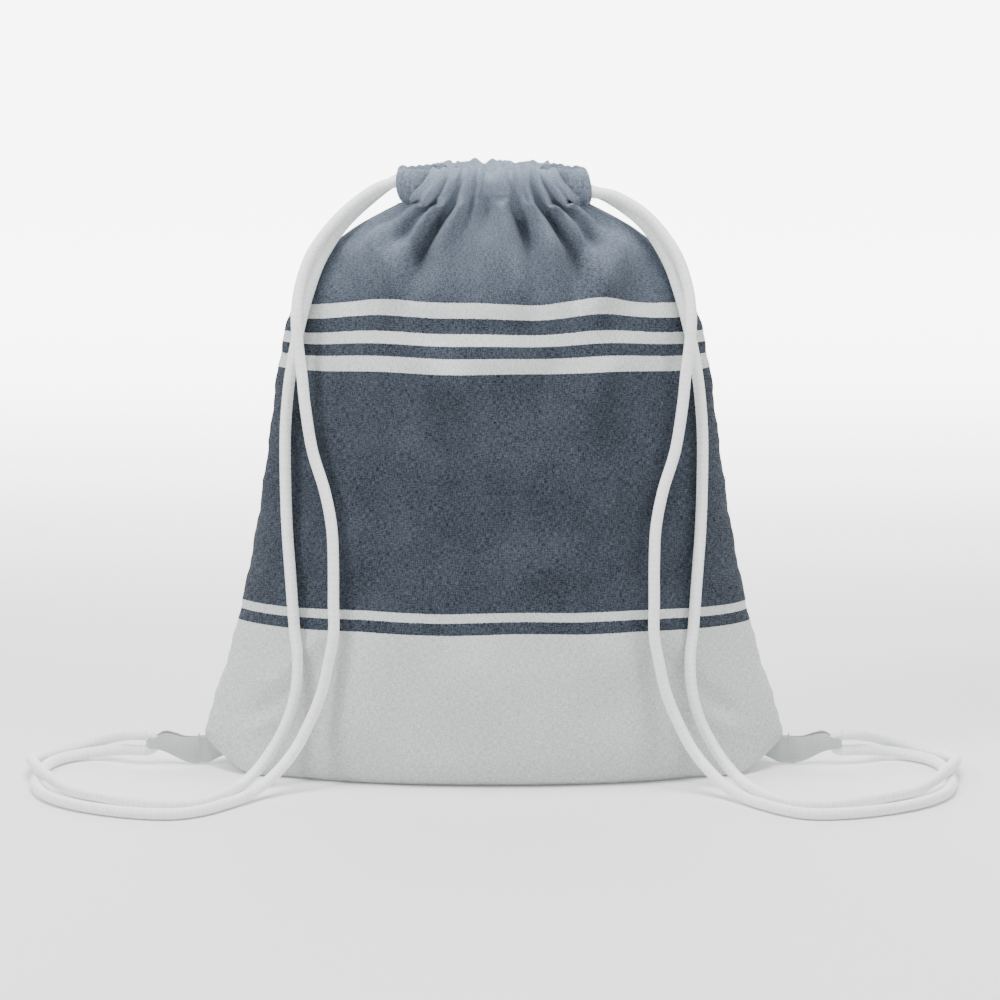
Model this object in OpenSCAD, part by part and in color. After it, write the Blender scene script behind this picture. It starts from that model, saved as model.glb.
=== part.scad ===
// Drawstring backpack in striped woven cotton, standing with its mouth drawn shut.
// Millimetres. +Z is up, the front faces -Y, and the origin is the middle of the base on the floor.

/* [Cloth] */
// Thickness of the cotton as a solid
cloth = 1.2; // [0.8:0.1:1.6]
// Gap between the front and the back cloth along their seams
seam_gap = 0.3; // [0.2:0.1:0.6]
// Width of the turned-in seam allowance
seam_w = 7; // [5:0.5:9]

/* [Mouth] */
// Half of the drawn mouth's width, from one cord exit to the other
mouth_half = 42; // [40:0.5:44]
// Distance of a casing's ends from the middle plane
mouth_end = 13; // [12.5:0.1:13.5]
// Distance of a casing's middle from the middle plane
mouth_mid = 21; // [20:0.5:22]
// Height of the middle of the casing over the floor
casing_z = 340; // [340:0.5:342]
// Diameter of the round top and bottom of the tunnel inside the casing
tunnel_d = 8; // [7.6:0.1:8.4]

/* [Cord] */
// Diameter of the braided cotton cord
cord_d = 6.5; // [6:0.1:6.8]
// Height between the two cords that lie one over the other in the casing
cord_pitch = 6.8; // [6.8:0.1:7]

/* [Tab] */
// Distance of the sewn root of a tab from the middle of the bag
tab_root_x = 170; // [169.5:0.5:171]
// Height of the tab at its sewn root
tab_root_h = 17; // [14:0.5:18]
// Height of the tab where it wraps the cord
tab_tip_h = 9.4; // [8:0.2:10]
// Thickness of one layer of the folded tab
tab_cloth = 1.2; // [1:0.1:1.4]
// Distance from the tab's root to the middle of its eye
tab_reach = 28.4; // [26:0.2:30]

/* [Stitches] */
// Thickness of the sewing thread
thread_d = 0.8; // [0.6:0.1:1]
// Length of one hem stitch
stitch_l = 3; // [2.5:0.1:3.5]

/* [Hidden] */
$fn = 48;

blue = "#5f6b7c";
white = "#d9dcdc";
cord_white = "#ececea";
clear = 0.3;
cord_r = cord_d / 2;

// Rows of the cloth from the bottom seam up to the hem.
// Each row: half width at the side seam, seam height, depth at the middle, height at the middle.
rows = [
    [165, 14, 0, 0], [167, 15.5, 30, 0], [168.5, 18, 50, 0], [168, 25, 59, 9],
    [164, 39, 62, 29], [156.5, 61, 63, 58], [148, 92, 62, 96], [138, 141, 58, 143],
    [130.5, 190, 52, 192], [124, 238, 45, 240], [115, 273, 38, 276], [97, 302, 30.5, 303],
    [72, 320, 24, 320], [52, 330, 20, 330.5]
];
last_row = len(rows) - 1;
// How much of the cloth's thickness points up rather than inwards, row by row from the bottom seam.
base_share = [1, 1, 0.9, 0.5];
// Shape of a row seen from above: how square its sides are, and how blunt its seams.
row_square = 2.4;
row_blunt = 0.78;
// Share of a row's half width that rests flat on the floor.
flat_share = 0.45;
across = 30;
along = 36;

function unit(v) = v / norm(v);
function mix(a, b, t) = a + (b - a) * t;
function clamp01(t) = min(1, max(0, t));

// Catmull-Rom curve through the points p, with t counted in points.
function curve(p, t) =
    let (
        n = len(p) - 1,
        i = min(floor(t), n - 1),
        f = t - i,
        a = p[max(i - 1, 0)],
        b = p[i],
        c = p[i + 1],
        d = p[min(i + 2, n)]
    )
    (2 * b + (c - a) * f + (2 * a - 5 * b + 4 * c - d) * f * f + (3 * b - a - 3 * c + d) * f * f * f) / 2;

// Rows moved inwards by the thickness of the cloth.
function share(i) = i < len(base_share) ? base_share[i] : 0;
function inner(t) = [
    for (i = [0:last_row])
        [rows[i][0] - t, rows[i][1] + t * share(i), rows[i][2] - (i == 0 ? 0 : t * (1 - share(i))),
         rows[i][3] + t * share(i)]
];

// Point of the front cloth: u runs -1 to 1 across, v runs from the bottom seam to the hem in rows.
function skin(r, u, v) =
    let (
        q = curve(r, v),
        a = abs(sin(90 * u)),
        flat = pow(max(0, (a - flat_share) / (1 - flat_share)), 3),
        lift = mix(flat, a * a, clamp01((v - 2) / 3))
    )
    [
        sign(u) * q[0] * a,
        min(-seam_gap / 2, -q[2] * pow(max(0, 1 - pow(a, row_square)), row_blunt)),
        max(r[0][3], q[3] + (q[1] - q[3]) * lift)
    ];

// One cloth panel, from the bottom seam under the base, up the front and in to the hem.
module panel() {
    sheets = [rows, inner(cloth)];
    cols = across + 1;
    layer = cols * (along + 1);
    points = [
        for (r = sheets)
            for (j = [0:along])
                for (i = [0:across])
                    skin(r, 2 * i / across - 1, last_row * j / along)
    ];
    outside = [
        for (j = [0:along - 1])
            for (i = [0:across - 1])
                let (k = j * cols + i)
                each [[k, k + cols, k + 1], [k + 1, k + cols, k + cols + 1]]
    ];
    inside = [for (f = outside) [f[0] + layer, f[2] + layer, f[1] + layer]];
    edge = concat(
        [for (i = [0:across]) i],
        [for (j = [1:along]) j * cols + across],
        [for (i = [1:across]) along * cols + across - i],
        [for (j = [1:along - 1]) (along - j) * cols]
    );
    rim = [
        for (i = [0:len(edge) - 1])
            let (a = edge[i], b = edge[(i + 1) % len(edge)])
            each [[a, b, a + layer], [b, b + layer, a + layer]]
    ];
    polyhedron(points, concat(outside, inside, rim), convexity = 6);
}

module front_panel() {
    color(blue) panel();
}

module back_panel() {
    color(blue) mirror([0, 1, 0]) panel();
}

// The casing follows an arc from one exit to the other.
arc_rise = mouth_mid - mouth_end;
arc_r = (mouth_half * mouth_half + arc_rise * arc_rise) / (2 * arc_rise);
arc_half = asin(mouth_half / arc_r);
arc_y = arc_r - mouth_mid;
// A cord turns from the front casing to the back one on this radius, tangent to both arcs.
turn_r = mouth_end / cos(arc_half);
turn_x = mouth_half - turn_r * sin(arc_half);

module front_arc(z) {
    translate([0, arc_y, z])
        rotate([0, 0, -90 - arc_half])
            rotate_extrude(angle = 2 * arc_half, $fn = 96)
                translate([arc_r, 0])
                    children();
}

module stadium(d, h) {
    square([d, h], center = true);
    for (s = [-1, 1])
        translate([0, s * h / 2]) circle(d = d);
}

// Half of the hem, sewn into a tunnel round the cords.
module casing() {
    front_arc(casing_z)
        difference() {
            stadium(tunnel_d + 2 * cloth, cord_pitch);
            stadium(tunnel_d, cord_pitch);
        }
}

module front_casing() {
    color(blue) casing();
}

module back_casing() {
    color(blue) mirror([0, 1, 0]) casing();
}

// Turned-in and overlocked edge along one side seam.
seam_steps = 40;
seam_low = 2.4;
seam_high = last_row - 0.6;
seam_t = 1.4;
seam_inset = cloth + 0.5;

function seam_line(x_in) = [
    for (k = [0:seam_steps])
        let (q = curve(rows, mix(seam_low, seam_high, k / seam_steps)))
        [q[0] - x_in, q[1]]
];
function backwards(p) = [for (i = [len(p) - 1:-1:0]) p[i]];

module side_seam() {
    outline = concat(seam_line(seam_inset), backwards(seam_line(seam_inset + seam_w)));
    rotate([90, 0, 0])
        linear_extrude(height = seam_t, center = true)
            polygon(outline);
}

module left_seam() {
    color(blue) mirror([1, 0, 0]) side_seam();
}

module right_seam() {
    color(blue) side_seam();
}

// The same along the bottom, standing up inside the bag.
bottom_reach = 0.62;

module bottom_seam() {
    low = [
        for (k = [0:24])
            let (p = skin(rows, mix(-bottom_reach, bottom_reach, k / 24), 0))
            [p[0], p[2] + seam_inset]
    ];
    color(white)
        rotate([90, 0, 0])
            linear_extrude(height = seam_t, center = true)
                polygon(concat(low, backwards([for (p = low) [p[0], p[1] + seam_w]])));
}

// Row of stitches that closes the casing, on the outside of the panel.
hem_v = last_row - 0.35;
hem_pitch = 1.6 * stitch_l;
hem_count = 18;
hem_u = 0.8;

module hem_stitch() {
    for (k = [0:hem_count - 1]) {
        u = mix(-hem_u, hem_u, (k + 0.5) / hem_count);
        p = skin(rows, u, hem_v);
        q = skin(rows, u + 0.02, hem_v);
        way = unit(q - p);
        translate(p + [0, -thread_d * 0.75, thread_d * 0.2])
            rotate([0, 0, atan2(way[1], way[0])])
                rotate([0, 90, 0])
                    cylinder(d = thread_d, h = stitch_l, center = true, $fn = 16);
    }
}

module front_hem_stitch() {
    color(white) hem_stitch();
}

module back_hem_stitch() {
    color(white) mirror([0, 1, 0]) hem_stitch();
}

// Folded tab sewn in at the bottom corner. The cord passes up through the eye of its fold.
eye_x = tab_root_x + tab_reach;
eye_r = cord_r + 0.35;
bight_r = 4.6;
bight_x = eye_x + bight_r;
bight_z = 12.9;
tab_root_z = 11;
tab_root_t = 2.8;
tab_slit_x = tab_root_x + 6;
tab_slit_t = 0.4;
tab_end_x = eye_x + eye_r + tab_cloth + 1;

module tab_outline() {
    difference() {
        union() {
            translate([eye_x, 0]) circle(r = eye_r + tab_cloth);
            polygon([
                [tab_root_x, -tab_root_t / 2], [eye_x, -eye_r - tab_cloth],
                [eye_x, eye_r + tab_cloth], [tab_root_x, tab_root_t / 2]
            ]);
        }
        translate([eye_x, 0]) circle(r = eye_r);
        polygon([
            [tab_slit_x, -tab_slit_t / 2], [eye_x, -eye_r], [eye_x, eye_r], [tab_slit_x, tab_slit_t / 2]
        ]);
    }
}

// Room for a cord that bends round through the eye, or the cord itself.
module bight(r) {
    translate([bight_x, 0, bight_z])
        rotate([90, 0, 0])
            rotate([0, 0, 90])
                rotate_extrude(angle = 180, $fn = 64)
                    translate([bight_r, 0])
                        circle(r = r);
}

module tab() {
    difference() {
        intersection() {
            linear_extrude(height = 2 * tab_root_h)
                tab_outline();
            rotate([90, 0, 0])
                linear_extrude(height = 4 * eye_r, center = true)
                    polygon([
                        [tab_root_x - 1, tab_root_z - tab_root_h / 2],
                        [tab_end_x, bight_z - tab_tip_h / 2],
                        [tab_end_x, bight_z + tab_tip_h / 2],
                        [tab_root_x - 1, tab_root_z + tab_root_h / 2]
                    ]);
        }
        bight(cord_r + clear);
    }
}

module left_tab() {
    color(white) mirror([1, 0, 0]) tab();
}

module right_tab() {
    color(white) tab();
}

// Bar tack over the root of a tab, on both of its faces.
tack_x = tab_root_x + 2.2;
tack_count = 5;

module tack() {
    for (s = [-1, 1], k = [0:tack_count - 1])
        translate([tack_x, s * (tab_root_t / 2 + thread_d), tab_root_z + 3 * (k - (tack_count - 1) / 2)])
            cylinder(d = thread_d, h = 2.2, center = true, $fn = 16);
}

module left_tab_tack() {
    color(white) mirror([1, 0, 0]) tack();
}

module right_tab_tack() {
    color(white) tack();
}

module left_cord_bight() {
    color(cord_white) mirror([1, 0, 0]) bight(cord_r);
}

module right_cord_bight() {
    color(cord_white) bight(cord_r);
}

// Stretch of cord inside the casing: along the front, round the far end and back.
// The turn is a hair thicker and overlaps the two arcs, so that the three join cleanly.
turn_over = 2;

module cord_in_casing(z) {
    front_arc(z) circle(r = cord_r);
    translate([turn_x, 0, z])
        rotate([0, 0, arc_half - 90 - turn_over])
            rotate_extrude(angle = 180 - 2 * arc_half + 2 * turn_over, $fn = 64)
                translate([turn_r, 0])
                    circle(r = cord_r + 0.03);
    mirror([0, 1, 0])
        front_arc(z) circle(r = cord_r);
}

cord_high = casing_z + cord_pitch / 2;
cord_low = casing_z - cord_pitch / 2;

// The left cord turns at the right end, and the right cord at the left end.
module left_cord_in_casing() {
    color(cord_white) cord_in_casing(cord_high);
}

module right_cord_in_casing() {
    color(cord_white) mirror([1, 0, 0]) cord_in_casing(cord_low);
}

// Routes of the free cord, from the casing down the front of the bag, round a loop
// on the floor and up to the tab, for the left side. The right side mirrors them.
front_route = [
    [-88, -10, 322], [-103, -15, 303], [-110, -20, 284], [-112, -25, 267],
    [-111, -27, 251], [-109, -29, 235], [-107, -32, 216], [-103, -36, 192], [-96, -42, 170],
    [-92, -47, 150], [-91, -51, 130], [-91, -54, 108], [-91, -56, 90], [-94, -57, 73],
    [-98, -58, 56], [-105, -60, 39], [-114, -65, 23], [-127, -76, 10], [-140, -91, 4],
    [-152, -107, 3.4], [-164, -120, 3.4], [-178, -127, 3.4], [-198, -125, 3.4], [-220, -116, 3.4],
    [-240, -102, 3.4], [-254, -84, 3.4], [-261, -62, 3.4], [-262, -38, 3.4], [-259, -14, 3.4],
    [-252, 0, 3.5], [-241, 8, 4], [-228, 9, 5.6], [-216, 3.5, 7.8], [-204.6, 0, 8.3]
];
back_route = [
    [-86, -5, 317], [-98, -10, 299], [-105, -14, 281], [-110, -17, 263],
    [-114, -18, 245], [-117, -20, 226], [-119, -22, 201], [-119, -26, 173], [-118, -31, 145],
    [-116, -37, 119], [-114, -42, 92], [-112, -46, 74], [-113, -49, 56], [-118, -50, 38],
    [-127, -52, 21], [-138, -59, 8], [-148, -74, 3.8], [-157, -92, 3.4], [-168, -104, 3.4],
    [-184, -107, 3.4], [-203, -101, 3.4], [-222, -89, 3.4], [-240, -76, 4], [-253, -62, 7.5],
    [-262, -47, 10.4], [-267, -28, 9.6], [-267, -10, 6], [-261, 7, 4], [-249, 17, 4.8],
    [-234, 18, 8.8], [-222, 11, 13.5], [-213, 3, 16.8], [-204.6, 0, 17.5]
];
// First points of each route, from the end of the casing.
left_front_start = [[-42.3, -12.9, 343.4], [-55, -9, 342.5], [-70, -8, 336.5]];
left_back_start = [[-42.3, 12.9, 343.4], [-55, 8, 342], [-70, 0, 332]];
right_front_start = [[-42.3, -12.9, 336.6], [-56, -9, 336.2], [-70, -8, 333.5]];
right_back_start = [[-42.3, 12.9, 336.6], [-56, 7.5, 335.6], [-70, 0, 329.5]];

cord_sides = 8;
rings_per_point = 2;

function path(p) = [for (k = [0:(len(p) - 1) * rings_per_point]) curve(p, k / rings_per_point)];
function heading(p, i) = unit(p[min(i + 1, len(p) - 1)] - p[max(i - 1, 0)]);
function square_to(n, t) = unit(n - (n * t) * t);

// A direction square to the cord at each ring, carried along so that the tube doesn't twist.
function normals(p) = [
    for (
        i = 0, n = square_to([0, 1, 0], heading(p, 0));
        i < len(p);
        i = i + 1, n = square_to(n, heading(p, min(i, len(p) - 1)))
    ) n
];

module free_cord(route) {
    p = path(route);
    n = normals(p);
    points = [
        for (i = [0:len(p) - 1])
            let (side = cross(heading(p, i), n[i]))
            for (k = [0:cord_sides - 1])
                let (a = 360 * k / cord_sides)
                p[i] + cord_r * (cos(a) * n[i] + sin(a) * side)
    ];
    last = (len(p) - 1) * cord_sides;
    walls = [
        for (i = [0:len(p) - 2], k = [0:cord_sides - 1])
            let (
                m = (k + 1) % cord_sides,
                a = i * cord_sides + k,
                b = i * cord_sides + m
            )
            each [[a, b, a + cord_sides], [b, b + cord_sides, a + cord_sides]]
    ];
    near_end = [[for (k = [0:cord_sides - 1]) cord_sides - 1 - k]];
    far_end = [[for (k = [0:cord_sides - 1]) last + k]];
    polyhedron(points, concat(walls, near_end, far_end), convexity = 10);
}

module left_cord_front() {
    color(cord_white) free_cord(concat(left_front_start, front_route));
}

module left_cord_back() {
    color(cord_white) free_cord(concat(left_back_start, back_route));
}

module right_cord_front() {
    color(cord_white) mirror([1, 0, 0]) free_cord(concat(right_front_start, front_route));
}

module right_cord_back() {
    color(cord_white) mirror([1, 0, 0]) free_cord(concat(right_back_start, back_route));
}

front_panel();
back_panel();
front_casing();
back_casing();
left_seam();
right_seam();
bottom_seam();
front_hem_stitch();
back_hem_stitch();
left_tab();
right_tab();
left_tab_tack();
right_tab_tack();
left_cord_in_casing();
right_cord_in_casing();
left_cord_front();
left_cord_back();
right_cord_front();
right_cord_back();
left_cord_bight();
right_cord_bight();
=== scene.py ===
"""Striped cotton drawstring backpack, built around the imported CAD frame. Metres, +Z up, front towards -Y."""

import math

import bpy
import numpy as np
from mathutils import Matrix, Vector, noise


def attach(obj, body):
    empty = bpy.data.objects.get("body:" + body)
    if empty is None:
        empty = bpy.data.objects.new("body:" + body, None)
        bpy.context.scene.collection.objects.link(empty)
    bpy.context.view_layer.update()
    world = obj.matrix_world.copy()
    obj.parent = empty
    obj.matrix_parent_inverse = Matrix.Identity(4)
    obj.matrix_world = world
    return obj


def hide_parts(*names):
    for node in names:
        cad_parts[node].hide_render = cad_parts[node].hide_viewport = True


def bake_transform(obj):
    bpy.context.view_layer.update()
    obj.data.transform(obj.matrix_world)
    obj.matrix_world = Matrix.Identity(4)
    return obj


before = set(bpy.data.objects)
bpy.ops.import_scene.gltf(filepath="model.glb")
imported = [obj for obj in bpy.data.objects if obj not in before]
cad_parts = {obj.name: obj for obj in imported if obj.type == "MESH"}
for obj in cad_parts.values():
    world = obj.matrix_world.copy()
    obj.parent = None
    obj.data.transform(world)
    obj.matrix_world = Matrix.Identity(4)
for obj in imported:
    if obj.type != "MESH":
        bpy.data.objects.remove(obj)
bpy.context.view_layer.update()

bl_info = {
    "name": "Drawstring backpack",
    "version": (1, 0, 0),
    "blender": (4, 5, 0),
    "location": "3D View > Sidebar > Backpack",
    "description": "Builds the cloth, cords, tabs and stitches of a cotton drawstring backpack",
    "category": "Object",
}

MM = 0.001
WHITE = (1, 1, 1, 1)
BLACK = (0, 0, 0, 1)

# ---------------------------------------------------------------------------
# Rules shared with the CAD part, in millimetres
# ---------------------------------------------------------------------------

# Rows of the cloth from the bottom seam up: half width at the side seam, seam height,
# depth at the middle, height at the middle, depth at the side edge.
PANEL_ROWS = [
    (165, 14, 0, 0, 0), (167, 15.5, 30, 0, 0), (168.5, 18, 50, 0, 0), (168, 25, 59, 9, 0),
    (164, 39, 62, 29, 0), (156.5, 61, 63, 58, 0), (148, 92, 62, 96, 0), (138, 141, 58, 143, 0),
    (130.5, 190, 52, 192, 0), (124, 238, 45, 240, 0), (115, 273, 38, 276, 0), (97, 302, 31, 303, 0),
    (72, 320, 27, 319.5, 1), (52, 330, 25.8, 330, 7),
]
# The hem goes on over the cords, folds at the top and comes down inside.
HEM_ROWS = [
    (45, 335, 26.4, 337, 18.5), (39, 341, 26.8, 343.5, 22.2), (35.5, 346, 25, 348, 22),
    (34, 348.4, 20.8, 349.6, 17.5), (34, 346, 15.2, 346, 11), (35, 338, 14.4, 338, 10),
    (36, 332, 15, 332, 10.4),
]
SEAM_GAP = 0.3
# How square and how blunt a level section is, and the share of the bottom edge that lies flat.
ROW_SQUARE = 2.4
ROW_BLUNT = 0.78
FLAT_SHARE = 0.45
HEM_ROW = len(PANEL_ROWS) - 1
TOP_ROW = HEM_ROW + 4

# The cords in the casing: two level arcs, one over the other, joined by a turn at the far end.
CASING_Z = 340
CORD_PITCH = 6.8
CORD_R = 3.25
MOUTH_HALF, MOUTH_END, MOUTH_MID = 42, 13, 21
ARC_R = (MOUTH_HALF**2 + (MOUTH_MID - MOUTH_END) ** 2) / (2 * (MOUTH_MID - MOUTH_END))
ARC_HALF = math.asin(MOUTH_HALF / ARC_R)
ARC_Y = ARC_R - MOUTH_MID
TURN_R = MOUTH_END / math.cos(ARC_HALF)
TURN_X = MOUTH_HALF - TURN_R * math.sin(ARC_HALF)

# The tab's eye, the bight of cord held in it, and the sewn root.
EYE_X = 198.4
EYE_R = 3.6
BIGHT_R = 4.6
BIGHT_X = EYE_X + BIGHT_R
BIGHT_Z = 12.9
TAB_ROOT_X = 170

# Routes of the free strands on the left side, from the mouth down, over the floor and in to the tab.
FRONT_ROUTE = [
    (-88, -10, 322), (-103, -15, 303), (-110, -20, 284), (-112, -25, 267),
    (-111, -27, 251), (-109, -29, 235), (-107, -32, 216), (-103, -36, 192), (-96, -42, 170),
    (-92, -47, 150), (-91, -51, 130), (-91, -54, 108), (-91, -56, 90), (-94, -57, 73),
    (-98, -58, 56), (-105, -60, 39), (-114, -65, 23), (-127, -76, 10), (-140, -91, 4),
    (-152, -107, 3.4), (-164, -120, 3.4), (-178, -127, 3.4), (-198, -125, 3.4), (-220, -116, 3.4),
    (-240, -102, 3.4), (-254, -84, 3.4), (-261, -62, 3.4), (-262, -38, 3.4), (-259, -14, 3.4),
    (-252, 0, 3.5), (-241, 8, 4), (-228, 9, 5.6), (-216, 3.5, 7.8), (-204.6, 0, 8.3),
]
BACK_ROUTE = [
    (-86, -5, 317), (-98, -10, 299), (-105, -14, 281), (-110, -17, 263),
    (-114, -18, 245), (-117, -20, 226), (-119, -22, 201), (-119, -26, 173), (-118, -31, 145),
    (-116, -37, 119), (-114, -42, 92), (-112, -46, 74), (-113, -49, 56), (-118, -50, 38),
    (-127, -52, 21), (-138, -59, 8), (-148, -74, 3.8), (-157, -92, 3.4), (-168, -104, 3.4),
    (-184, -107, 3.4), (-203, -101, 3.4), (-222, -89, 3.4), (-240, -76, 4), (-253, -62, 7.5),
    (-262, -47, 10.4), (-267, -28, 9.6), (-267, -10, 6), (-261, 7, 4), (-249, 17, 4.8),
    (-234, 18, 8.8), (-222, 11, 13.5), (-213, 3, 16.8), (-204.6, 0, 17.5),
]
# How each strand leaves the casing, before its route.
STARTS = {
    ("left", "front"): [(-42.3, -12.9, 343.4), (-55, -9, 342.5), (-70, -8, 336.5)],
    ("left", "back"): [(-42.3, 12.9, 343.4), (-55, 8, 342), (-70, 0, 332)],
    ("right", "front"): [(-42.3, -12.9, 336.6), (-56, -9, 336.2), (-70, -8, 333.5)],
    ("right", "back"): [(-42.3, 12.9, 336.6), (-56, 7.5, 335.6), (-70, 0, 329.5)],
}
SIDES = {"left": 1, "right": -1}

# Gathers in the cloth under the hem. Each: place across at the hem and where it fades, as a share of the
# half width; the row where it fades; depth; half width at the hem and where it fades.
FRONT_GATHERS = [
    (-0.90, -0.84, 11.0, 2.6, 1.3, 5), (-0.70, -0.60, 10.2, 4.2, 1.5, 8), (-0.49, -0.40, 9.3, 10.5, 1.9, 6.5),
    (-0.27, -0.22, 11.0, 2.4, 1.3, 6), (-0.07, -0.06, 11.2, 2.2, 1.5, 7), (0.26, 0.18, 9.4, 10.5, 2.2, 8),
    (0.40, 0.33, 11.2, 2.6, 1.1, 5), (0.53, 0.41, 9.3, 9.5, 1.8, 6.5), (0.72, 0.63, 10.2, 4.2, 1.5, 8),
    (0.90, 0.84, 11.0, 2.6, 1.3, 5),
]
BACK_GATHERS = [
    (-0.92, -0.86, 11.0, 2.0, 1.3, 6), (-0.66, -0.57, 10.1, 4.2, 1.6, 8), (-0.41, -0.36, 11.2, 1.8, 1.2, 6),
    (-0.17, -0.13, 10.0, 4.6, 1.8, 8), (0.08, 0.06, 11.3, 1.7, 1.2, 6), (0.35, 0.30, 10.2, 4.0, 1.7, 8),
    (0.58, 0.50, 11.1, 2.0, 1.3, 6), (0.79, 0.72, 10.4, 3.4, 1.5, 7), (0.95, 0.90, 11.3, 1.6, 1.2, 5),
]
# Broad soft folds. Each: x, z, half width, half length, lean in degrees, height outwards.
FRONT_FOLDS = [
    (-55, 290, 9, 26, -24, 2.8), (-47, 309, 8, 18, -32, -2.2), (-84, 285, 9, 24, -26, -1.6),
    (54, 309, 8, 18, 32, -2.4), (62, 287, 9, 24, 26, 2.6), (86, 284, 9, 22, 24, -1.5),
    (15, 288, 7, 20, 4, 2.2), (-18, 300, 13, 18, 0, -1.5), (-8, 262, 40, 9, 0, -1.2),
    (-26, 231, 9, 22, -38, 1.6), (-44, 214, 9, 20, -20, -1.0), (58, 226, 10, 26, 26, 1.4),
    (34, 238, 8, 20, 20, -1.0), (0, 190, 50, 16, 0, 1.0), (-30, 150, 46, 14, 6, -0.9),
    (46, 128, 40, 12, -6, 0.9), (-70, 70, 14, 34, 28, 1.2), (74, 66, 14, 34, -28, 1.2),
    (-128, 46, 6, 30, 42, -2.4), (-118, 62, 6, 30, 36, 2.0), (128, 46, 6, 30, -42, -2.4),
    (118, 62, 8, 30, -36, 1.8), (-138, 30, 6, 22, 62, 1.4), (138, 30, 6, 22, -62, 1.4),
]
BACK_FOLDS = [
    (-60, 288, 10, 26, -26, 2.6), (-36, 306, 8, 20, -16, -2.2), (40, 300, 9, 24, 18, 2.4),
    (66, 290, 9, 24, 28, -2.0), (4, 288, 9, 22, -4, 2.0), (0, 240, 50, 10, 0, -1.2),
    (-40, 200, 10, 30, -22, 1.4), (44, 190, 10, 30, 18, 1.4), (0, 130, 60, 16, 0, 1.2),
    (-70, 70, 14, 34, 30, 1.3), (70, 70, 14, 34, -30, 1.3), (-126, 48, 8, 30, 42, -2.2),
    (126, 48, 8, 30, -42, -2.2),
]
# Notches in the folded top edge: place across, depth, half width.
FRONT_NOTCHES = [(-0.04, 3.2, 4.5), (-0.62, 1.2, 2), (0.26, 1.2, 1.6), (0.52, 1.3, 1.8), (0.83, 1.4, 2)]
BACK_NOTCHES = [(-0.5, 1.4, 2.4), (-0.12, 1.6, 2.6), (0.2, 1.2, 1.8), (0.44, 1.8, 2.4), (0.72, 1.2, 2)]

# Each panel: direction outwards, gathers, folds, notches, seed of its unevenness.
PANELS = {
    "front": (-1, FRONT_GATHERS, FRONT_FOLDS, FRONT_NOTCHES, 1.7),
    "back": (1, BACK_GATHERS, BACK_FOLDS, BACK_NOTCHES, 5.3),
}
# Fullness of the bottom corners: place and width as shares of the half width, then millimetres outwards
# and down.
CORNER = (0.86, 0.11, 11, 5)
# The hem, in millimetres: how far it stands out round the cords, how far out it stays at least where a
# pleat sinks, and how much that least eases off just below it.
HEM_STAND, HEM_LEAST, HEM_EASE = 2.4, 0.2, 6

# Stripes by length of cloth along the middle of the front, from the bottom seam: start and colour name.
STRIPES = [
    (0, "white"), (144.4, "blue"), (151.2, "white"), (157.3, "blue"), (292.8, "white"), (300.4, "blue"),
    (308.3, "white"), (315.7, "blue"), (324.8, "white"), (332.0, "blue"),
]
# Length of cloth that the stripes are laid out over, and the most that a stripe's edge steps from yarn to
# yarn, in millimetres. The stripes start half a step later, which makes up for the step's average.
STRIPE_RAMP = 450
STRIPE_STEP = 0.7
# Cloth length, in metres, over which the blue is painted lighter towards the mouth: painted light from above.
PAINTED_LIGHT_FROM, PAINTED_LIGHT_TO = 0.325, 0.415
# Width of a yarn as drawn, in metres.
YARN = 0.0006
# Weave on a drawn end of the casing, in metres: its width round the end, and the length of cloth that it
# starts at, which also sets how much of the painted light towards the mouth it takes.
EAR_AROUND, EAR_START = 0.045, 0.362

# Camera: the point it aims at and its distance in metres, its lift in degrees, lens and sensor in
# millimetres.
CAMERA_TARGET = (0.0035, 0, 0.157)
CAMERA_DISTANCE, CAMERA_LIFT, CAMERA_LENS, CAMERA_SENSOR = 2.4, 10.5, 149.5, 36
# Area lights: name, place, aim, size, power in watts.
LIGHTS = (
    ("key", (-1.3, -0.8, 1.4), (0, 0, 0.15), 0.45, 30),
    ("fill", (1.4, -0.8, 1.2), (0, 0, 0.15), 0.6, 16),
    ("top", (0.0, -0.25, 1.8), (0, -0.02, 0.1), 1.0, 62),
)
SKY_STRENGTH = 0.22


# ---------------------------------------------------------------------------
# Settings that a user would change
# ---------------------------------------------------------------------------


def linear(text):
    """sRGB hex to the linear colour that shaders take."""
    values = [int(text[i : i + 2], 16) / 255 for i in (1, 3, 5)]
    return tuple(v / 12.92 if v <= 0.04045 else ((v + 0.055) / 1.055) ** 2.4 for v in values) + (1.0,)


def colour(name, description, text):
    return bpy.props.FloatVectorProperty(
        name=name, description=description, default=linear(text), size=4, subtype="COLOR", min=0, max=1
    )


def length(name, description, default):
    return bpy.props.FloatProperty(
        name=name, description=description, default=default, min=0, subtype="DISTANCE", unit="LENGTH"
    )


class BackpackCloth(bpy.types.PropertyGroup):
    columns: bpy.props.IntProperty(name="Columns", description="Faces across a panel", default=210, min=20)
    rows: bpy.props.IntProperty(name="Rows", description="Faces from the bottom seam to the hem", default=215,
                                min=20)
    thickness: length("Thickness", "Thickness of the woven cotton", 0.0006)
    gather_depth: bpy.props.FloatProperty(name="Gather depth", description="Depth of the gathers",
                                          default=1.0)
    fold_depth: bpy.props.FloatProperty(name="Fold depth", description="Height of the broad folds",
                                        default=2.3)
    flat_width: length("Cut width", "Width of a panel laid flat", 0.36)
    flat_length: length("Cut length", "Length of a panel laid flat, with its hem", 0.435)


class BackpackCords(bpy.types.PropertyGroup):
    diameter: length("Diameter", "Diameter of the braided cord", 0.0065)
    relief: length("Braid relief", "Height of the braid's ridges", 0.00022)
    braid_pitch: length("Braid pitch", "Length along the cord of one diamond of the braid", 0.0052)


class BackpackTabs(bpy.types.PropertyGroup):
    thickness: length("Tape thickness", "Thickness of the woven tape", 0.0009)


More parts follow.
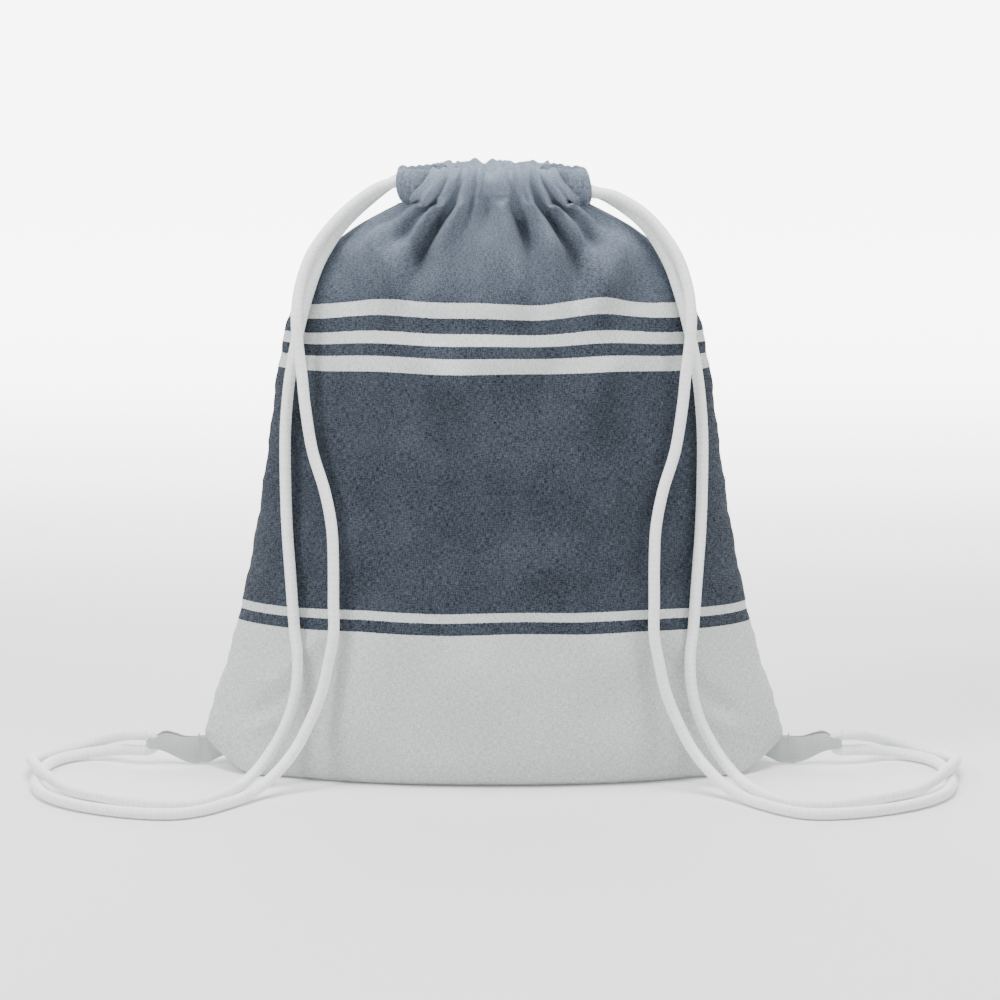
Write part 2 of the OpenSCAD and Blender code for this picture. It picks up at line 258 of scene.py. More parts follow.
class BackpackStitches(bpy.types.PropertyGroup):
    pitch: length("Stitch pitch", "Distance from one stitch to the next", 0.0036)
    stitch: length("Stitch length", "Length of a stitch", 0.0026)
    thread: length("Thread", "Thickness of the sewing thread", 0.0006)


class BackpackColours(bpy.types.PropertyGroup):
    blue_dark: colour("Blue yarn", "Indigo weft yarn", "#12161e")
    blue_light: colour("Grey yarn", "Pale warp yarn that crosses the blue", "#474e58")
    blue_thread: colour("Blue thread", "Thread of the hem stitches", "#79818b")
    white_dark: colour("White shade", "Shade between the white yarns", "#a4a9a9")
    white_light: colour("White yarn", "Bleached cotton yarn", "#d0d3d2")
    cord: colour("Cord", "Braided cotton cord", "#eceeed")
    cord_groove: colour("Cord groove", "Shade between the braid's strands", "#c9cccc")


# ---------------------------------------------------------------------------
# Helpers
# ---------------------------------------------------------------------------


def settings(name):
    return getattr(bpy.context.scene, name)


def smooth(edge0, edge1, x):
    t = np.clip((x - edge0) / (edge1 - edge0), 0, 1)
    return t * t * (3 - 2 * t)


def catmull(points, t):
    """Points on the Catmull-Rom curve through points, t counted in points."""
    p = np.asarray(points, float)
    t = np.atleast_1d(np.asarray(t, float))
    n = len(p) - 1
    i = np.minimum(np.floor(t).astype(int), n - 1)
    f = (t - i)[:, None]
    a, b, c, d = p[np.maximum(i - 1, 0)], p[i], p[i + 1], p[np.minimum(i + 2, n)]
    return (2 * b + (c - a) * f + (2 * a - 5 * b + 4 * c - d) * f**2 + (3 * b - a - 3 * c + d) * f**3) / 2


def new_mesh(name, points, faces):
    mesh = bpy.data.meshes.new(name)
    mesh.from_pydata([tuple(p) for p in points], [], faces)
    mesh.validate()
    mesh.shade_smooth()
    obj = bpy.data.objects.new(name, mesh)
    bpy.context.scene.collection.objects.link(obj)
    return obj


def grid_faces(rows, columns, wrap=False):
    """Quads of a grid of rows by columns of points. wrap joins the last column to the first."""
    faces = []
    for j in range(rows - 1):
        for i in range(columns if wrap else columns - 1):
            k = (i + 1) % columns
            faces.append((j * columns + i, j * columns + k, (j + 1) * columns + k, (j + 1) * columns + i))
    return faces


def add_uv(obj, uv, wrap_u=None):
    """uv holds one pair for each point. wrap_u is the width at which u comes round again."""
    layer = obj.data.uv_layers.new(name="cloth")
    index = np.zeros(len(obj.data.loops), int)
    obj.data.loops.foreach_get("vertex_index", index)
    values = np.asarray(uv, float)[index]
    if wrap_u:
        for polygon in obj.data.polygons:
            loops = list(polygon.loop_indices)
            if values[loops, 0].max() - values[loops, 0].min() > wrap_u / 2:
                for k in loops:
                    if values[k, 0] < wrap_u / 2:
                        values[k, 0] += wrap_u
    layer.data.foreach_set("uv", values.astype(np.float32).ravel())


def finished(obj):
    """The object with its modifiers applied, as a plain mesh."""
    bpy.context.view_layer.update()
    graph = bpy.context.evaluated_depsgraph_get()
    mesh = bpy.data.meshes.new_from_object(obj.evaluated_get(graph), depsgraph=graph)
    obj.modifiers.clear()
    old = obj.data
    obj.data = mesh
    mesh.name = obj.name
    if old.users == 0:
        (bpy.data.curves if isinstance(old, bpy.types.Curve) else bpy.data.meshes).remove(old)
    return obj


def paint(obj, material):
    obj.data.materials.clear()
    obj.data.materials.append(material)


def add_node(tree, kind, values=None, links=None, **attributes):
    """Adds a node, sets its attributes and input values, and links sockets into its inputs."""
    node = tree.nodes.new(kind)
    for key, value in attributes.items():
        setattr(node, key, value)
    for key, value in (values or {}).items():
        node.inputs[key].default_value = value
    for key, socket in (links or {}).items():
        tree.links.new(socket, node.inputs[key])
    return node


def empty_material(name):
    old = bpy.data.materials.get(name)
    if old:
        return old, None
    material = bpy.data.materials.new(name)
    material.use_nodes = True
    material.node_tree.nodes.clear()
    return material, material.node_tree


def weave(tree, uv, yarn):
    """A plain weave: pale and dark yarns crossing, uneven as spun cotton is. Returns shade and height."""
    turn = add_node(tree, "ShaderNodeMapping", {"Scale": (1 / yarn, 1 / (5 * yarn), 1)}, {"Vector": uv})
    warp = add_node(tree, "ShaderNodeTexNoise", {"Scale": 1.0, "Detail": 2.0}, {"Vector": turn.outputs[0]},
                    noise_dimensions="2D")
    turn = add_node(tree, "ShaderNodeMapping",
                    {"Scale": (1 / (5 * yarn), 1 / yarn, 1), "Location": (7.3, 2.1, 0)},
                    {"Vector": uv})
    weft = add_node(tree, "ShaderNodeTexNoise", {"Scale": 1.0, "Detail": 2.0}, {"Vector": turn.outputs[0]},
                    noise_dimensions="2D")
    turn = add_node(tree, "ShaderNodeMapping", {"Scale": (1 / yarn, 1 / yarn, 1)}, {"Vector": uv})
    grain = add_node(tree, "ShaderNodeTexNoise", {"Scale": 0.9, "Detail": 3.0, "Roughness": 0.65},
                     {"Vector": turn.outputs[0]}, noise_dimensions="2D")
    across = add_node(tree, "ShaderNodeMath", {}, {0: warp.outputs[0], 1: weft.outputs[0]}, operation="ADD")
    both = add_node(tree, "ShaderNodeMath", {}, {0: across.outputs[0], 1: grain.outputs[0]}, operation="ADD")
    shade = add_node(tree, "ShaderNodeMapRange", {"From Min": 1.16, "From Max": 1.84},
                     {"Value": both.outputs[0]})
    return shade.outputs[0], both.outputs[0]


def cloth_material():
    """Chambray cotton: indigo and pale yarns crossed, soft and matt, with a faint bloom of loose fibre.
    The stripes are woven in, so they follow the length of the cloth. The yarns are drawn at 0.6 mm, coarser
    than the real 0.4 mm, so that they show."""
    material, tree = empty_material("chambray_cotton")
    if tree is None:
        return material
    c = settings("backpack_colours")
    uv = add_node(tree, "ShaderNodeUVMap", uv_map="cloth").outputs[0]
    shade, height = weave(tree, uv, YARN)
    # Cloudy wear and uneven dye over a few centimetres.
    cloud = add_node(tree, "ShaderNodeTexNoise", {"Scale": 38.0, "Detail": 4.0, "Roughness": 0.6},
                     {"Vector": uv},
                     noise_dimensions="2D")
    cloudy = add_node(tree, "ShaderNodeMapRange",
                      {"From Min": 0.3, "From Max": 0.7, "To Min": -0.10, "To Max": 0.10},
                      {"Value": cloud.outputs[0]})
    clouded = add_node(tree, "ShaderNodeMath", {}, {0: shade, 1: cloudy.outputs[0]}, operation="ADD")
    split = add_node(tree, "ShaderNodeSeparateXYZ", None, {"Vector": uv})
    # Towards the mouth the blue is painted lighter and its grain stronger: painted light, standing in for
    # the light from above on the upward-facing neck and hem.
    painted_top_light, painted_top_gain = (
        add_node(tree, "ShaderNodeMapRange",
                 {"From Min": PAINTED_LIGHT_FROM, "From Max": PAINTED_LIGHT_TO, "To Min": low, "To Max": high},
                 {"Value": split.outputs[1]})
        for low, high in ((0.0, 1.9), (1.0, 2.0))
    )
    blue_shade = add_node(tree, "ShaderNodeMath", {}, {
        0: clouded.outputs[0], 1: painted_top_gain.outputs[0], 2: painted_top_light.outputs[0]}, operation="MULTIPLY_ADD")
    blue = add_node(tree, "ShaderNodeMix", None, {"Factor": blue_shade.outputs[0]}, data_type="RGBA",
                    clamp_factor=False)
    blue.inputs[6].default_value = c.blue_dark
    blue.inputs[7].default_value = c.blue_light
    white = add_node(tree, "ShaderNodeMix", None, {"Factor": shade}, data_type="RGBA")
    white.inputs[6].default_value = c.white_dark
    white.inputs[7].default_value = c.white_light
    # The edge of a stripe steps from yarn to yarn.
    step = add_node(tree, "ShaderNodeTexNoise", {"Scale": 900.0, "Detail": 1.0}, {"Vector": uv},
                    noise_dimensions="2D")
    jitter = add_node(tree, "ShaderNodeMath", {1: STRIPE_STEP * MM}, {0: step.outputs[0]},
                      operation="MULTIPLY")
    along = add_node(tree, "ShaderNodeMath", {}, {0: split.outputs[1], 1: jitter.outputs[0]}, operation="ADD")
    whole = STRIPE_RAMP * MM
    share = add_node(tree, "ShaderNodeMath", {1: 1 / whole}, {0: along.outputs[0]}, operation="MULTIPLY")
    ramp = add_node(tree, "ShaderNodeValToRGB", None, {"Fac": share.outputs[0]})
    ramp.color_ramp.interpolation = "CONSTANT"
    elements = ramp.color_ramp.elements
    while len(elements) > 1:
        elements.remove(elements[-1])
    for k, (start, name) in enumerate(STRIPES):
        element = elements[0] if k == 0 else elements.new((start + STRIPE_STEP / 2) * MM / whole)
        if k == 0:
            element.position = 0
        element.color = WHITE if name == "white" else BLACK
    base = add_node(tree, "ShaderNodeMix", None, {"Factor": ramp.outputs[0]}, data_type="RGBA")
    tree.links.new(blue.outputs[2], base.inputs[6])
    tree.links.new(white.outputs[2], base.inputs[7])
    bump = add_node(tree, "ShaderNodeBump", {"Strength": 0.35, "Distance": 0.0003}, {"Height": height})
    shader = add_node(tree, "ShaderNodeBsdfPrincipled",
                      {"Roughness": 0.92, "Sheen Weight": 0.08, "Sheen Roughness": 0.4,
                       "Specular IOR Level": 0.15},
                      {"Base Color": base.outputs[2], "Normal": bump.outputs[0]})
    add_node(tree, "ShaderNodeOutputMaterial", None, {"Surface": shader.outputs[0]})
    return material


def cord_material():
    """Braided cotton cord: bleached, matt and slightly fuzzy, shaded in the grooves between its strands."""
    material, tree = empty_material("braided_cotton_cord")
    if tree is None:
        return material
    c = settings("backpack_colours")
    groove = add_node(tree, "ShaderNodeAttribute", attribute_name="ridge")
    point = add_node(tree, "ShaderNodeTexCoord")
    fibre = add_node(tree, "ShaderNodeTexNoise", {"Scale": 1100.0, "Detail": 3.0},
                     {"Vector": point.outputs["Object"]})
    mixed = add_node(tree, "ShaderNodeMath", {1: 0.35}, {0: fibre.outputs[0]}, operation="MULTIPLY")
    shade = add_node(tree, "ShaderNodeMath", {}, {0: groove.outputs["Fac"], 1: mixed.outputs[0]},
                     operation="ADD",
                     use_clamp=True)
    base = add_node(tree, "ShaderNodeMix", None, {"Factor": shade.outputs[0]}, data_type="RGBA")
    base.inputs[6].default_value = c.cord_groove
    base.inputs[7].default_value = c.cord
    bump = add_node(tree, "ShaderNodeBump", {"Strength": 0.25, "Distance": 0.0002},
                    {"Height": fibre.outputs[0]})
    shader = add_node(tree, "ShaderNodeBsdfPrincipled",
                      {"Roughness": 0.85, "Sheen Weight": 0.2, "Sheen Roughness": 0.5,
                       "Specular IOR Level": 0.2},
                      {"Base Color": base.outputs[2], "Normal": bump.outputs[0]})
    add_node(tree, "ShaderNodeOutputMaterial", None, {"Surface": shader.outputs[0]})
    return material


def tape_material():
    """Flat woven cotton tape: bleached, with fine ribs 0.9 mm apart across its length."""
    material, tree = empty_material("woven_cotton_tape")
    if tree is None:
        return material
    c = settings("backpack_colours")
    point = add_node(tree, "ShaderNodeTexCoord")
    rib = add_node(tree, "ShaderNodeTexWave",
                   {"Scale": 350.0, "Distortion": 1.5, "Detail": 1.0, "Detail Scale": 2.0},
                   {"Vector": point.outputs["Object"]}, bands_direction="Z")
    fibre = add_node(tree, "ShaderNodeTexNoise", {"Scale": 900.0, "Detail": 3.0},
                     {"Vector": point.outputs["Object"]})
    both = add_node(tree, "ShaderNodeMath", {}, {0: rib.outputs["Fac"], 1: fibre.outputs[0]},
                    operation="MULTIPLY")
    base = add_node(tree, "ShaderNodeMix", None, {"Factor": both.outputs[0]}, data_type="RGBA")
    base.inputs[6].default_value = c.white_dark
    base.inputs[7].default_value = c.white_light
    bump = add_node(tree, "ShaderNodeBump", {"Strength": 0.3, "Distance": 0.0003},
                    {"Height": both.outputs[0]})
    shader = add_node(tree, "ShaderNodeBsdfPrincipled",
                      {"Roughness": 0.88, "Sheen Weight": 0.2, "Specular IOR Level": 0.2},
                      {"Base Color": base.outputs[2], "Normal": bump.outputs[0]})
    add_node(tree, "ShaderNodeOutputMaterial", None, {"Surface": shader.outputs[0]})
    return material


def thread_material(name, dark, light):
    """Polyester-cotton sewing thread, with a slight gloss and the twist of its plies."""
    material, tree = empty_material(name)
    if tree is None:
        return material
    point = add_node(tree, "ShaderNodeTexCoord")
    ply = add_node(tree, "ShaderNodeTexWave", {"Scale": 900.0, "Distortion": 2.0},
                   {"Vector": point.outputs["Object"]},
                   bands_direction="DIAGONAL")
    base = add_node(tree, "ShaderNodeMix", None, {"Factor": ply.outputs["Fac"]}, data_type="RGBA")
    base.inputs[6].default_value = dark
    base.inputs[7].default_value = light
    shader = add_node(tree, "ShaderNodeBsdfPrincipled", {"Roughness": 0.6, "Sheen Weight": 0.1},
                      {"Base Color": base.outputs[2]})
    add_node(tree, "ShaderNodeOutputMaterial", None, {"Surface": shader.outputs[0]})
    return material


# ---------------------------------------------------------------------------
# Cords
# ---------------------------------------------------------------------------


def resample(points, spacing):
    p = np.asarray(points, float)
    along = np.r_[0, np.cumsum(np.linalg.norm(np.diff(p, axis=0), axis=1))]
    n = max(2, int(round(along[-1] / spacing)) + 1)
    t = np.linspace(0, along[-1], n)
    return np.stack([np.interp(t, along, p[:, k]) for k in range(3)], 1), t


def braided_tube(name, points):
    """A braided cord along points, in millimetres: crossing ridges wind round it both ways."""
    c = settings("backpack_cords")
    sides = 20
    radius = c.diameter / MM / 2
    relief = c.relief / MM
    pitch = c.braid_pitch / MM
    path, along = resample(points, 0.95)
    ahead = np.gradient(path, axis=0)
    ahead /= np.linalg.norm(ahead, axis=1)[:, None]
    normal = np.array([0.0, 1.0, 0.0])
    verts, ridge = [], []
    for p, t, s in zip(path, ahead, along):
        normal = normal - t * (normal @ t)
        normal /= np.linalg.norm(normal)
        side = np.cross(t, normal)
        angle = np.linspace(0, 2 * np.pi, sides, endpoint=False)
        one = np.sin(4 * angle + 2 * np.pi * s / pitch)
        two = np.sin(4 * angle - 2 * np.pi * s / pitch)
        high = np.maximum(np.abs(one), np.abs(two))
        r = radius - relief * (1 - high)
        verts.append(p + r[:, None] * (np.cos(angle)[:, None] * normal + np.sin(angle)[:, None] * side))
        ridge.append(np.clip((high - 0.35) / 0.5, 0, 1))
    rows = len(verts)
    faces = grid_faces(rows, sides, wrap=True)
    # The winding points outwards because side = ahead x normal.
    faces.append(tuple(range(sides))[::-1])
    faces.append(tuple((rows - 1) * sides + k for k in range(sides)))
    obj = new_mesh(name, np.concatenate(verts) * MM, faces)
    attribute = obj.data.attributes.new("ridge", "FLOAT", "POINT")
    attribute.data.foreach_set("value", np.concatenate(ridge).astype(np.float32))
    paint(obj, cord_material())
    return obj, path


def mirrored(points, side):
    """Routes are written for the left side."""
    p = np.asarray(points, float).copy()
    p[:, 0] *= SIDES[side]
    return p


def arc_points(z, front, left_to_right):
    angle = np.linspace(-ARC_HALF, ARC_HALF, 60)
    x = ARC_R * np.sin(angle)
    y = ARC_Y - ARC_R * np.cos(angle)
    p = np.stack([x, y if front else -y, np.full_like(x, z)], 1)
    return p if left_to_right else p[::-1]


def cord_in_casing_path(side):
    """The cord whose ends leave at this side: along the front, round the far end, and back."""
    z = CASING_Z + CORD_PITCH / 2 * SIDES[side]
    angle = np.linspace(ARC_HALF - math.pi / 2, math.pi / 2 - ARC_HALF, 40)[1:-1]
    turn = np.stack([TURN_X + TURN_R * np.cos(angle), TURN_R * np.sin(angle), np.full_like(angle, z)], 1)
    path = np.concatenate([arc_points(z, True, True), turn, arc_points(z, False, False)])
    if side == "right":
        path[:, 0] *= -1
    return path


class BACKPACK_OT_cords(bpy.types.Operator):
    """Make the braided cords: four free strands, two stretches in the casing and two bights in the tabs"""

    bl_idname = "backpack.cords"
    bl_label = "Make cords"

    def execute(self, context):
        c = settings("backpack_cords")
        for side in SIDES:
            tab = side + "_tab"
            for part, route in (("front", FRONT_ROUTE), ("back", BACK_ROUTE)):
                node = f"{side}_cord_{part}"
                control = STARTS[side, part] + route
                # The strand runs on to the bight, so that the cord shows no gap.
                curve = catmull(control, np.linspace(0, len(control) - 1, 900))
                end = (-BIGHT_X, 0, curve[-1][2])
                points = mirrored(np.vstack([curve, [end]]), side)
                obj, path = braided_tube(node + "_braid", points)
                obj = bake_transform(obj)
                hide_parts(node)
            obj, _ = braided_tube(f"{side}_cord_in_casing_braid", cord_in_casing_path(side))
            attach(obj, "bag")
            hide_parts(f"{side}_cord_in_casing")
            angle = np.linspace(-math.pi / 2, math.pi / 2, 40)
            bend = np.stack([-BIGHT_X + BIGHT_R * np.cos(angle), 0 * angle,
                             BIGHT_Z + BIGHT_R * np.sin(angle)], 1)
            obj, _ = braided_tube(f"{side}_cord_bight_braid", mirrored(bend, side))
            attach(obj, tab)
            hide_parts(f"{side}_cord_bight")
        return {"FINISHED"}


# ---------------------------------------------------------------------------
# Cloth
# ---------------------------------------------------------------------------


def base_surface(across, rows):
    """Smooth surface of a panel and its hem, in millimetres, with y outwards from the middle plane."""
    q = catmull(PANEL_ROWS + HEM_ROWS, rows)
    a = np.abs(np.sin(np.pi / 2 * across))[None, :]
    a, v = np.broadcast_arrays(a, rows[:, None])
    half, seam_z, depth, mid_z, edge = (q[:, k][:, None] for k in range(5))
    flat = np.maximum(0, (a - FLAT_SHARE) / (1 - FLAT_SHARE)) ** 3
    lift = flat + (a * a - flat) * np.clip((v - 2) / 3, 0, 1)
    x = np.sign(across)[None, :] * half * a
    bulge = np.maximum(0, 1 - a**ROW_SQUARE) ** ROW_BLUNT
    y = np.maximum(SEAM_GAP / 2, edge + (depth - edge) * bulge)
    z = np.maximum(0, mid_z + (seam_z - mid_z) * lift)
    return np.stack([x, y, z], -1), np.sign(across)[None, :] * a, half


def surface_normals(points):
    du = np.gradient(points, axis=1)
    dv = np.gradient(points, axis=0)
    n = np.cross(dv, du)
    n /= np.maximum(1e-9, np.linalg.norm(n, axis=-1))[..., None]
    return n


def noise_field(points, scale, seed):
    """Smooth noise at each point, from about -1 to 1."""
    flat = points.reshape(-1, 3) / scale + seed
    return np.array([noise.noise(Vector(p)) for p in flat]).reshape(points.shape[:-1])


def cloth_surface(across, rows, gathers, folds, notches, seed):
    """The gathered and folded surface of a panel. Returns the points, the
    outward normals and each point's place across."""
    c = settings("backpack_cloth")
    points, place, half = base_surface(across, rows)
    v = rows[:, None] + 0 * place
    # The bottom corners hang full, as the cloth sags on to the floor.
    corner_place, corner_width, corner_out, corner_down = CORNER
    corner = np.exp(-(((np.abs(place) - corner_place) / corner_width) ** 2)) * (1 - smooth(1.0, 3.8, v))
    points[..., 1] += corner_out * corner * (1 - np.abs(place) ** 12)
    points[..., 2] = np.maximum(points[..., 2] - corner_down * corner, 0)
    normal = surface_normals(points)
    if normal[len(rows) // 2, place.shape[1] // 2, 1] < 0:
        normal = -normal
    out = np.zeros_like(place)
    wall = 1 - 1.6 * smooth(TOP_ROW - 0.3, TOP_ROW + 0.6, v)
    fade = 1 - np.abs(place) ** 10 * (v < HEM_ROW)
    for top, low, last, depth, wide_top, wide_low in gathers:
        t = np.clip((HEM_ROW + 0.6 - v) / (HEM_ROW + 0.6 - last), 0, 1)
        away = (place - (top + (low - top) * t)) * half
        wide = wide_top + (wide_low - wide_top) * t
        reach = smooth(last, HEM_ROW - 0.9, v) * (1 - 0.66 * smooth(HEM_ROW + 0.3, HEM_ROW + 1.2, v))
        out -= c.gather_depth * depth * reach * np.exp(-((away / wide) ** 2))
        lip = np.exp(-(((np.abs(away) - 2.4 * wide) / (1.3 * wide)) ** 2))
        out += c.gather_depth * 0.34 * depth * reach * lip
    # Small pleats between the gathers, uneven in width.
    phase = place * 31 + 2.2 * np.sin(place * 7 + seed) + 1.4 * np.sin(place * 17 + 2 * seed)
    pleat = smooth(11.4, 13.2, v)
    out += 0.5 * pleat * np.sin(phase) * c.gather_depth
    body = np.zeros_like(place)
    x, z = points[..., 0], points[..., 2]
    outside = (v > 2.2) & (v < HEM_ROW + 1)
    for fx, fz, wide, tall, lean, high in folds:
        angle = math.radians(lean)
        dx = (x - fx) * math.cos(angle) - (z - fz) * math.sin(angle)
        dz = (x - fx) * math.sin(angle) + (z - fz) * math.cos(angle)
        body += high * np.exp(-((dx / wide) ** 2) - (dz / tall) ** 2)
    body += 1.5 * noise_field(points, 46, seed)
    body += 0.45 * noise_field(points * [1, 1, 0.6], 15, seed + 9)
    out += c.fold_depth * body * outside * smooth(2.2, 4.2, v)
    # The hem stands out round the cords, so its pleats can sink without reaching them.
    inside = smooth(TOP_ROW - 0.3, TOP_ROW + 0.6, v)
    out = fade * (wall * out + HEM_STAND * smooth(HEM_ROW - 1.6, HEM_ROW + 0.6, v) * (1 - 0.5 * inside))
    near = smooth(HEM_ROW - 0.7, HEM_ROW + 0.1, v)
    out = np.where(near > 0, np.maximum(out, HEM_LEAST - HEM_EASE * (1 - near)), out)
    points = points + normal * out[..., None]
    for at, depth, wide in notches:
        dip = np.exp(-(((place - at) * half / wide) ** 2)) * smooth(TOP_ROW - 2.2, TOP_ROW - 0.6, v)
        points[..., 2] -= depth * dip * (1 - smooth(TOP_ROW + 0.8, TOP_ROW + 1.8, v))
    # The seams pucker a little from stitch to stitch.
    edge = np.abs(place) ** 14 * (v > 2.5) * (v < HEM_ROW + 0.2)
    pucker = 0.25 * np.sin(points[..., 2] * 0.55) + 0.4 * np.sin(points[..., 2] * 0.21 + 1)
    points[..., 0] -= np.sign(place) * edge * (0.5 + pucker)
    # At its ends the hem curls in behind itself, in front of the casing's drawn ends.
    curl = smooth(0.88, 1.0, np.abs(place)) * smooth(HEM_ROW - 0.6, HEM_ROW + 0.4, v) * (v < TOP_ROW + 0.4)
    points[..., 1] -= 4.5 * curl
    points[..., 2] = np.maximum(points[..., 2], 0)
    return points, normal, place


def cloth_length(rows):
    """Length of cloth from the bottom seam to each row, along the middle, in millimetres."""
    fine = np.linspace(0, rows[-1], 4000)
    q = catmull(PANEL_ROWS + HEM_ROWS, fine)
    line = np.stack([q[:, 2], q[:, 3]], 1)
    total = np.r_[0, np.cumsum(np.linalg.norm(np.diff(line, axis=0), axis=1))]
    return np.interp(rows, fine, total)


def panel_rows():
    c = settings("backpack_cloth")
    n = c.rows
    # Rows lie closer together in the gathers and over the hem.
    body = np.linspace(0, 10, int(n * 0.5), endpoint=False)
    gathers = np.linspace(10, HEM_ROW, int(n * 0.26), endpoint=False)
    hem = np.linspace(HEM_ROW, HEM_ROW + len(HEM_ROWS), n - len(body) - len(gathers) + 1)
    return np.concatenate([body, gathers, hem])


def thickened(obj):
    """The sheet given the cloth's thickness, as a plain smooth mesh."""
    paint(obj, cloth_material())
    solid = obj.modifiers.new("cloth", "SOLIDIFY")
    solid.thickness = settings("backpack_cloth").thickness
    solid.offset = -1
    finished(obj)
    obj.data.shade_smooth()
    return obj


def panel(which):
    """The front or back panel of cloth with its hem."""
    c = settings("backpack_cloth")
    outward, gathers, folds, notches, seed = PANELS[which]
    across = np.linspace(-1, 1, c.columns + 1)
    # Even out the columns, so that the middle isn't coarse and the sides aren't crowded.
    across = 0.62 * across + 0.38 * np.sign(across) * np.arcsin(np.abs(across)) * 2 / np.pi
    rows = panel_rows()
    points, _, place = cloth_surface(across, rows, gathers, folds, notches, seed)
    points[..., 1] *= outward
    along = cloth_length(rows)[:, None] + 0 * place
    # The pull of the gathers lifts and lowers the woven stripes a little.
    wave = 1.3 * np.sin(place * 6.1 + 1.0) + 0.9 * np.sin(place * 11 - 0.6)
    along = along + wave * smooth(8.6, 10.2, rows)[:, None]
    along = along + 0.35 * wave[:, ::-1] * smooth(3, 6, rows)[:, None]
    uv = np.stack([place * c.flat_width / 2, along * MM], -1)
    flat = points.reshape(-1, 3) * MM
    faces = grid_faces(len(rows), len(across))
    if outward > 0:
        faces = [f[::-1] for f in faces]
    obj = new_mesh(which + "_cloth", flat, faces)
    add_uv(obj, uv.reshape(-1, 2))
    return thickened(obj)


def ear(name, side, outward):
    """End of the casing, drawn in round the cord where it comes out."""
    s = SIDES[side]
    centre = [(-28, -15.6), (-35, -13.6), (-41, -11.9), (-46, -10.4), (-51, -9.2), (-54.5, -8.6)]
    t = np.linspace(0, len(centre) - 1, 44)
    line = catmull([(x, y, 0) for x, y in centre], t)[:, :2]
    exit_z = CASING_Z + CORD_PITCH / 2 * s - 0.6
    around = 48
    angle = np.linspace(0, 2 * np.pi, around, endpoint=False)
    ahead = np.gradient(line, axis=0)
    ahead /= np.linalg.norm(ahead, axis=1)[:, None]
    verts, uv, run = [], [], 0.0
    for k, ((x, y), (ax, ay)) in enumerate(zip(line, ahead)):
        share = k / (len(line) - 1)
        run += 0 if k == 0 else float(np.linalg.norm(line[k] - line[k - 1]))
        close = float(np.clip((share - 0.7) / 0.3, 0, 1)) ** 1.6
        round_in = math.sqrt(max(0.0, 1 - close**2))
        wide = 5.2 + 0.5 * math.sin(share * 9)
        tall = 4.0 + 0.25 * math.sin(share * 13 + s)
        fold = 0.32 * np.sin(3 * angle + 8 * share) + 0.38 * np.sin(run * 1.35 + 1.2 * np.cos(angle))
        r = (wide + fold * (1 - close)) * (0.32 + 0.68 * round_in) + 3.75 * 0.32 * close
        shift = tall * np.tanh(2.2 * np.sin(angle)) * (1 - 0.9 * close)
        centre_z = CASING_Z + (exit_z - CASING_Z) * close
        side_x, side_y = ay, -ax
        px = x + side_x * r * np.cos(angle)
        py = y + side_y * r * np.cos(angle)
        pz = centre_z + shift + r * np.sin(angle)
        verts.append(np.stack([px, py, pz], 1))
        uv.append(np.stack([angle / (2 * np.pi) * EAR_AROUND, np.full(around, EAR_START + run * MM)], 1))
    # A short lip turns back inside, round the cord.
    last = verts[-1]
    middle = last.mean(0)
    for inset, back in ((0.93, 1.0), (0.9, 3.5)):
        ring = middle + (last - middle) * inset - np.array([ahead[-1][0], ahead[-1][1], 0]) * back
        verts.append(ring)
        uv.append(uv[-1] + np.array([0, back * MM]))
    p = np.concatenate(verts)
    p[:, 0] *= s
    p[:, 1] *= -outward
    faces = grid_faces(len(verts), around, wrap=True)
    if s * outward > 0:
        faces = [f[::-1] for f in faces]
    obj = new_mesh(name, p * MM, faces)
    add_uv(obj, np.concatenate(uv), wrap_u=EAR_AROUND)
    thickened(obj)
    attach(obj, "bag")


class BACKPACK_OT_cloth(bpy.types.Operator):
    """Make the front and back cloth with their gathered hems, and the casing's ends"""

    bl_idname = "backpack.cloth"
    bl_label = "Make cloth"

    def execute(self, context):
        c = settings("backpack_cloth")
        for which, nodes in (("front", ("front_panel", "front_casing")),
                             ("back", ("back_panel", "back_casing"))):
            obj = panel(which)
            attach(obj, "bag")
            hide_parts(*nodes)
        for side in SIDES:
            ear(f"{side}_front_ear", side, -1)
            ear(f"{side}_back_ear", side, 1)
        return {"FINISHED"}


# ---------------------------------------------------------------------------
# Tabs
# ---------------------------------------------------------------------------


def tab_loop():
    """Middle line of the left folded tape seen from above, from the root round the eye and back."""
    radius = EYE_R + 0.75
    out = [
        (-TAB_ROOT_X + 17, -0.8), (-TAB_ROOT_X + 8, -1.0), (-TAB_ROOT_X, -1.25), (-TAB_ROOT_X - 6, -1.5),
        (-TAB_ROOT_X - 12, -2.2), (-TAB_ROOT_X - 19, -3.4),
    ]
    turn = [
        (-EYE_X - radius * math.sin(a), -radius * math.cos(a)) for a in np.linspace(-0.35, math.pi + 0.35, 25)
    ]
    back = [(x, -y) for x, y in out[::-1]]
    points = np.array([(x, y, 0) for x, y in out + turn + back])
    return catmull(points, np.linspace(0, len(points) - 1, 260))[:, :2]


